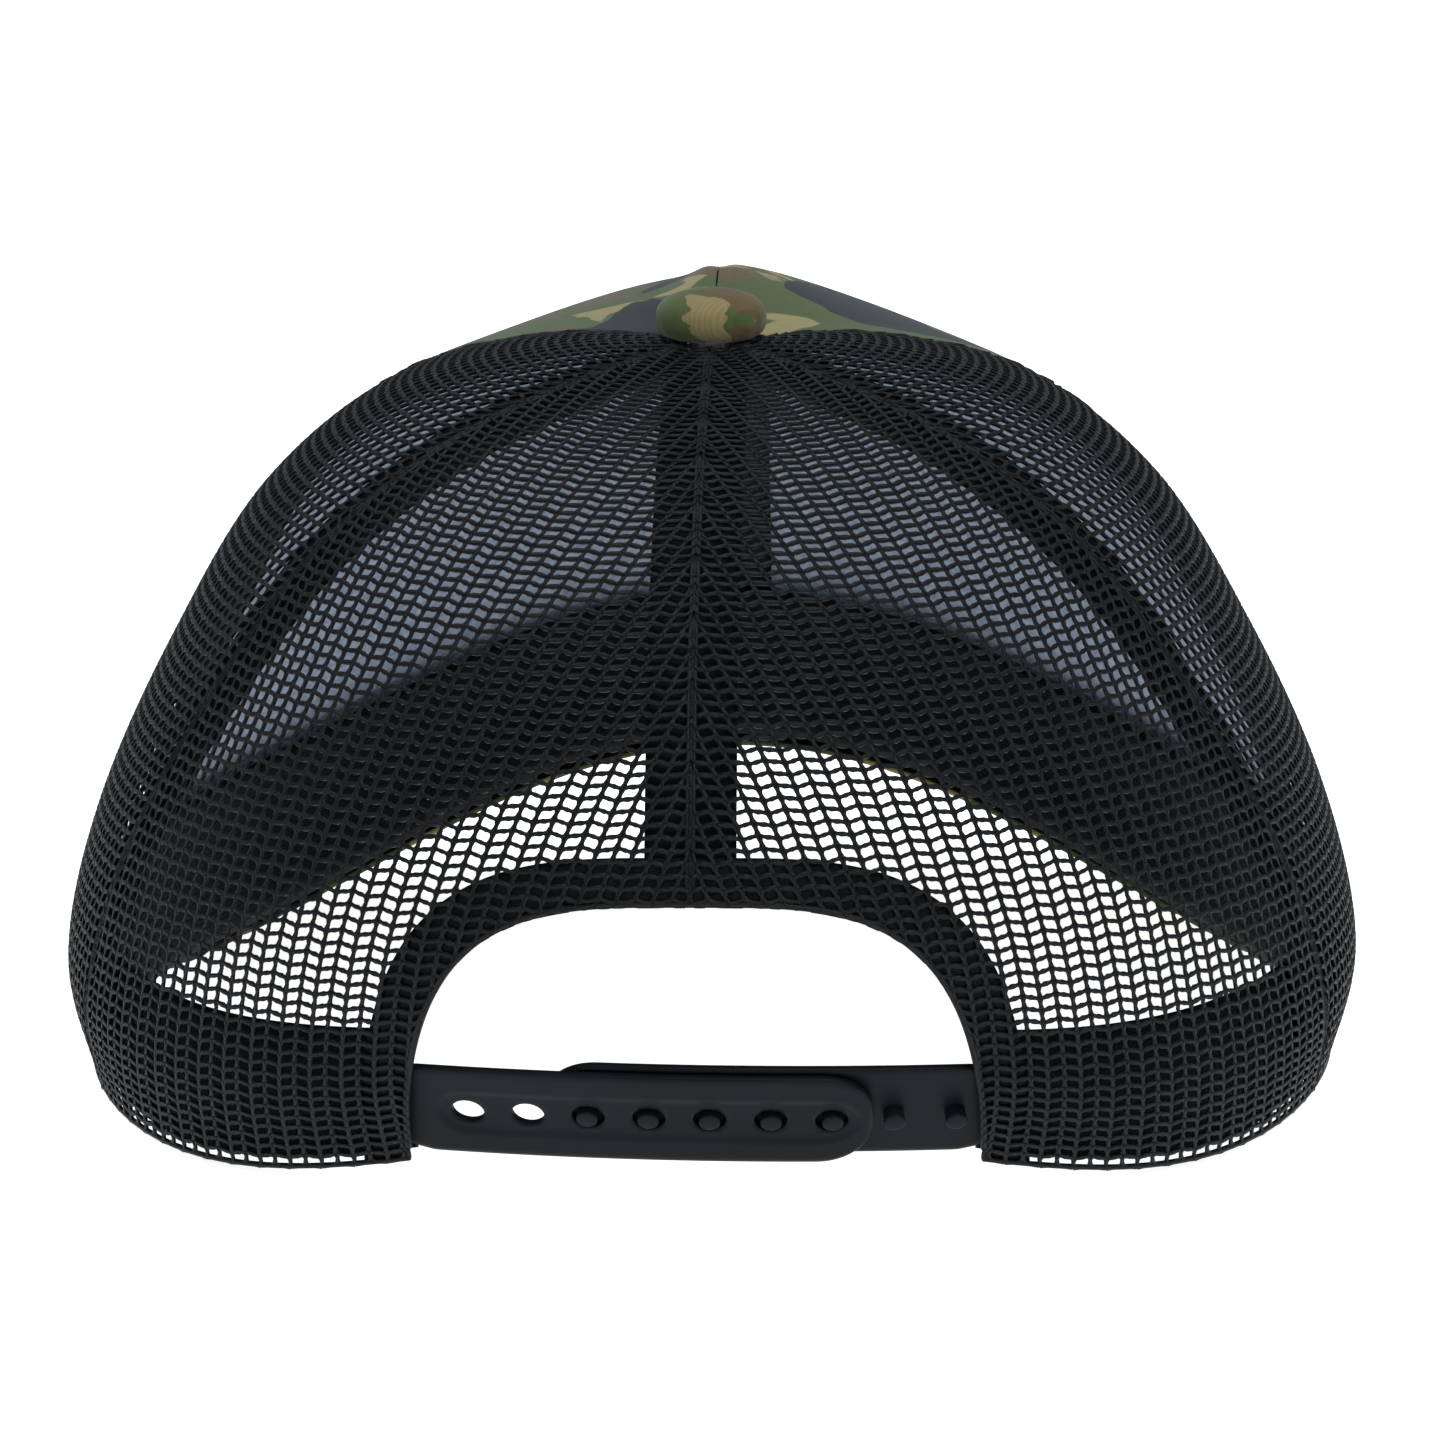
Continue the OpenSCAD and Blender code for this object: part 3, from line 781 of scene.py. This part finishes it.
def button():
    """A ball squashed to a low dome, its cloth gathered in small folds under the edge."""
    bm = bmesh.new()
    bmesh.ops.create_uvsphere(bm, u_segments=72, v_segments=36, radius=1)
    p = read_points(bm)
    around = np.arctan2(p[:, 1], p[:, 0])
    flat_r = np.hypot(p[:, 0], p[:, 1])
    top = p[:, 2] > 0
    z = BUTTON_WAIST + np.where(
        top, (BUTTON_H - BUTTON_WAIST) * abs(p[:, 2]) ** 0.9,
        -(BUTTON_WAIST + BUTTON_SKIRT) * abs(p[:, 2]) ** 0.75)
    gather = 1 + 0.02 * np.cos(around * 17) * np.clip(1 - z / (BUTTON_H * 0.55), 0, 1)
    ring = BUTTON_R * flat_r ** np.where(top, 0.93, 0.5) * gather
    points = np.c_[ring * np.cos(around), CROWN_Y + ring * np.sin(around), BUTTON_Z + z]
    write_points(bm, points * MM)
    piece = make_piece("button_cover_cloth", bm, BUTTON_TWILL, flat=points[:, :2])
    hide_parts("button_cover")


button()
for node, material in (("button_core", METAL), ("button_rivet", METAL), ("visor_board", TAPE)):
    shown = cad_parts[node].data
    shown.materials.clear()
    shown.materials.append(material)


# ---------------------------------------------------------------- snap straps
STRAP_R, STRAP_W, STRAP_T = 165.0, 16.5, 1.3  # bent to this radius; width; thickness
PIVOT_X, PIVOT_Y, PIVOT_Z = 38.2, -117.382, 11.523  # the line that a strap bends about
LEAN, PART = 37.28, 1.3  # degrees: the cone's slope, and how far each strap turns from level
STRAP_DEPTH, STRAP_MID = 1.9, 0.066  # depth and height share of the sewn-in ends
HOLE_X, PITCH, HOLES, HOLE_R, ENGAGED = 18.2, 8.0, 7, 2.2, 5
END_MARGIN, TIP_R = 5.4, 7.0
ROOT_L = 6  # how far a sewn-in end reaches past the bending line
SAG = STRAP_R - math.sqrt(STRAP_R**2 - PIVOT_X**2)
STEP, STRAP_ROWS = 0.5, 32


def strap_world(x, across, out, side):
    """From the flat strap to the cap: a leaning cone that runs into the crown at its root.
    side is -1 for the strap sewn in on the left, with its root at negative x."""
    lean = math.radians(LEAN)
    turn = np.arcsin(x / STRAP_R)
    r = STRAP_R + across * math.sin(lean) + out * math.cos(lean)
    free = np.c_[r * np.sin(turn), STRAP_R - SAG - r * np.cos(turn),
                 across * math.cos(lean) - out * math.sin(lean)]
    axis = Vector((0, -math.sin(lean), math.cos(lean)))
    part = np.array(Matrix.Rotation(math.radians(-PART), 3, axis))
    pivot = np.array([side * PIVOT_X, 0, 0])
    free = (free - pivot) @ part.T + pivot + np.array([0, PIVOT_Y, PIVOT_Z])
    past = abs(x) - PIVOT_X
    height = STRAP_MID + across * T_PER_MM * 0.96
    angle = angle_of_x(np.full_like(height, PIVOT_X), height)
    angle = angle + degrees_wide(angle, height, past)
    sewn = crown(angle, height, STRAP_DEPTH + STRAP_T / 2 - out)
    sewn[:, 0] *= side
    t = np.clip((past + 3.0) / 5.0, 0, 1) * (np.sign(x) == side)
    share = (t * t * (3 - 2 * t))[:, None]
    return free * (1 - share) + sewn * share


def middle_line(x, side, out=0.0):
    """A point over the middle of a strap."""
    return strap_world(np.array([x]), np.zeros(1), np.array([out]), side)[0]


def open_hole(bm, centre):
    """Takes out the faces inside a round hole and moves its rim onto the circle."""
    middle = Vector((centre, 0, 0))
    gone = [f for f in bm.faces if (f.calc_center_median() - middle).length < HOLE_R]
    bmesh.ops.delete(bm, geom=gone, context="FACES")
    for vert in bm.verts:
        off = vert.co - middle
        if off.length < HOLE_R + 1.2:
            vert.co = middle + off.normalized() * (
                HOLE_R if vert.is_boundary else max(off.length, HOLE_R + 0.3))


def strap(name, nodes, side, holes, bend_to):
    """A strap laid out flat with its tip towards positive x, then bent onto the cap."""
    near = HOLE_X if holes else (ENGAGED - 1) * PITCH - HOLE_X
    tip = near + END_MARGIN
    columns = int(round((tip + PIVOT_X + ROOT_L) / STEP))
    bm = unit_grid(columns, STRAP_ROWS)
    grid = read_points(bm)
    x = tip + (grid[:, 0] - 1) * columns * STEP
    across = (grid[:, 1] - 0.5) * STRAP_W
    write_points(bm, np.c_[x, across, 0 * x])
    centres = [near - k * PITCH for k in range(HOLES)]
    if holes:
        for centre in centres:
            open_hole(bm, centre)
    bmesh.ops.recalc_face_normals(bm, faces=bm.faces)
    if bm.faces[0].normal.z < 0:
        bmesh.ops.reverse_faces(bm, faces=bm.faces)
    bmesh.ops.solidify(bm, geom=list(bm.faces), thickness=STRAP_T)
    p = read_points(bm)
    outer = p[:, 2] > p[:, 2].mean()
    x, across = p[:, 0], p[:, 1]
    lip = np.clip(x - (tip - TIP_R), 0, TIP_R)
    half = STRAP_W / 2 - TIP_R + np.sqrt(np.maximum(TIP_R**2 - lip**2, 0))
    away = np.hypot(x - np.clip(x, min(centres), max(centres)), across)
    edge = STRAP_W / 2 - abs(across)
    across = across * half / (STRAP_W / 2)
    sunk = 0.28 / (1 + np.exp(-(3.75 - away) / 0.12)) * outer * holes
    relief = 0.22 * np.exp(-edge / 0.3) + 0.25 * np.exp(-(tip - x) / 0.4)
    out = np.where(outer, 1, -1) * (STRAP_T / 2 - relief) - sunk
    write_points(bm, strap_world(-side * x, across, out, side) * MM)
    bmesh.ops.recalc_face_normals(bm, faces=bm.faces)
    piece = make_piece(name, bm, STRAP, body=None, flat=np.c_[x, across])
    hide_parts(*nodes)
    start = middle_line(side * (PIVOT_X + 0.6), side)
    end = middle_line(side * bend_to, side)
    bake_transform(piece)


strap("hole_strap_moulding", ("hole_strap", "hole_strap_root"), -1, True, 33.5)
strap("stud_strap_moulding", ("stud_strap", "stud_strap_root"), 1, False, 36.0)


def studs():
    """Round pins with a slightly swollen head, one per hole."""
    bm = bmesh.new()
    first = HOLE_X - (ENGAGED - 1) * PITCH
    for k in range(HOLES):
        x = first + k * PITCH
        base, tip = middle_line(x, 1, 0.4), middle_line(x, 1, 1.4)
        side_way = middle_line(x + 0.5, 1, 0.4)
        up = Vector(tip - base).normalized()
        along = (Vector(side_way - base) - up * Vector(side_way - base).dot(up)).normalized()
        turn = Matrix((along, up.cross(along), up)).transposed().to_4x4()
        place = Matrix.Translation(Vector(base)) @ turn
        stem = bmesh.ops.create_cone(
            bm, cap_ends=True, segments=28, radius1=1.35, radius2=1.45, depth=2.6,
            matrix=place @ Matrix.Translation((0, 0, 1.0)))
        rim = [e for v in stem["verts"] for e in v.link_edges if len(e.link_faces) == 2
               and max(len(f.verts) for f in e.link_faces) > 4]
        bmesh.ops.bevel(bm, geom=list(set(rim)), affect="EDGES", offset=0.3, segments=3,
                        profile=0.5, material=-1)
    bmesh.ops.scale(bm, vec=(MM, MM, MM), verts=bm.verts)
    make_piece("strap_studs", bm, STRAP, body="inner_strap")


studs()

# ---------------------------------------------------------------- floor, light and camera
FLOOR_Z = -0.0006  # just under the lowest fold of the visor's cloth
bm = bmesh.new()
bmesh.ops.create_grid(bm, x_segments=1, y_segments=1, size=6)
bmesh.ops.translate(bm, vec=(0, 0, FLOOR_Z), verts=bm.verts)
floor_mesh = bpy.data.meshes.new("floor")
bm.to_mesh(floor_mesh)
bm.free()
floor = bpy.data.objects.new("floor", floor_mesh)
floor.data.materials.append(plain_floor())
scene.collection.objects.link(floor)

world = bpy.data.worlds.new("studio")
scene.world = world
world.use_nodes = True
world.node_tree.nodes["Background"].inputs["Color"].default_value = linear("#dcedfb")
world.node_tree.nodes["Background"].inputs["Strength"].default_value = 0.45


def softbox(name, place, target, size, watts):
    light = bpy.data.lights.new(name, "AREA")
    light.shape = "RECTANGLE"
    light.size, light.size_y = size
    light.energy = watts
    lamp = bpy.data.objects.new(name, light)
    scene.collection.objects.link(lamp)
    lamp.location = place
    lamp.rotation_euler = (Vector(target) - Vector(place)).to_track_quat("-Z", "Y").to_euler()


softbox("key_softbox", (0.5, -0.9, 1.3), (0, 0, 0.05), (0.9, 0.9), 12)
softbox("top_softbox", (-0.2, 0.2, 1.5), (0, 0, 0.05), (1.2, 1.2), 7)

TARGET = Vector((0.0013, -0.0348, 0.0486))
AZIMUTH, ELEVATION, DISTANCE = math.radians(1.8), math.radians(9.8), 1.15
camera = bpy.data.objects.new("camera", bpy.data.cameras.new("camera"))
scene.collection.objects.link(camera)
camera.data.sensor_width = 36
camera.data.lens = 202.8
camera.data.clip_end = 50
camera.location = TARGET + DISTANCE * Vector((
    math.sin(AZIMUTH) * math.cos(ELEVATION),
    -math.cos(AZIMUTH) * math.cos(ELEVATION),
    math.sin(ELEVATION)))
aim = (TARGET - camera.location).to_track_quat("-Z", "Y").to_matrix()
camera.rotation_euler = (aim @ Matrix.Rotation(math.radians(-0.3), 3, "Z")).to_euler()
scene.camera = camera
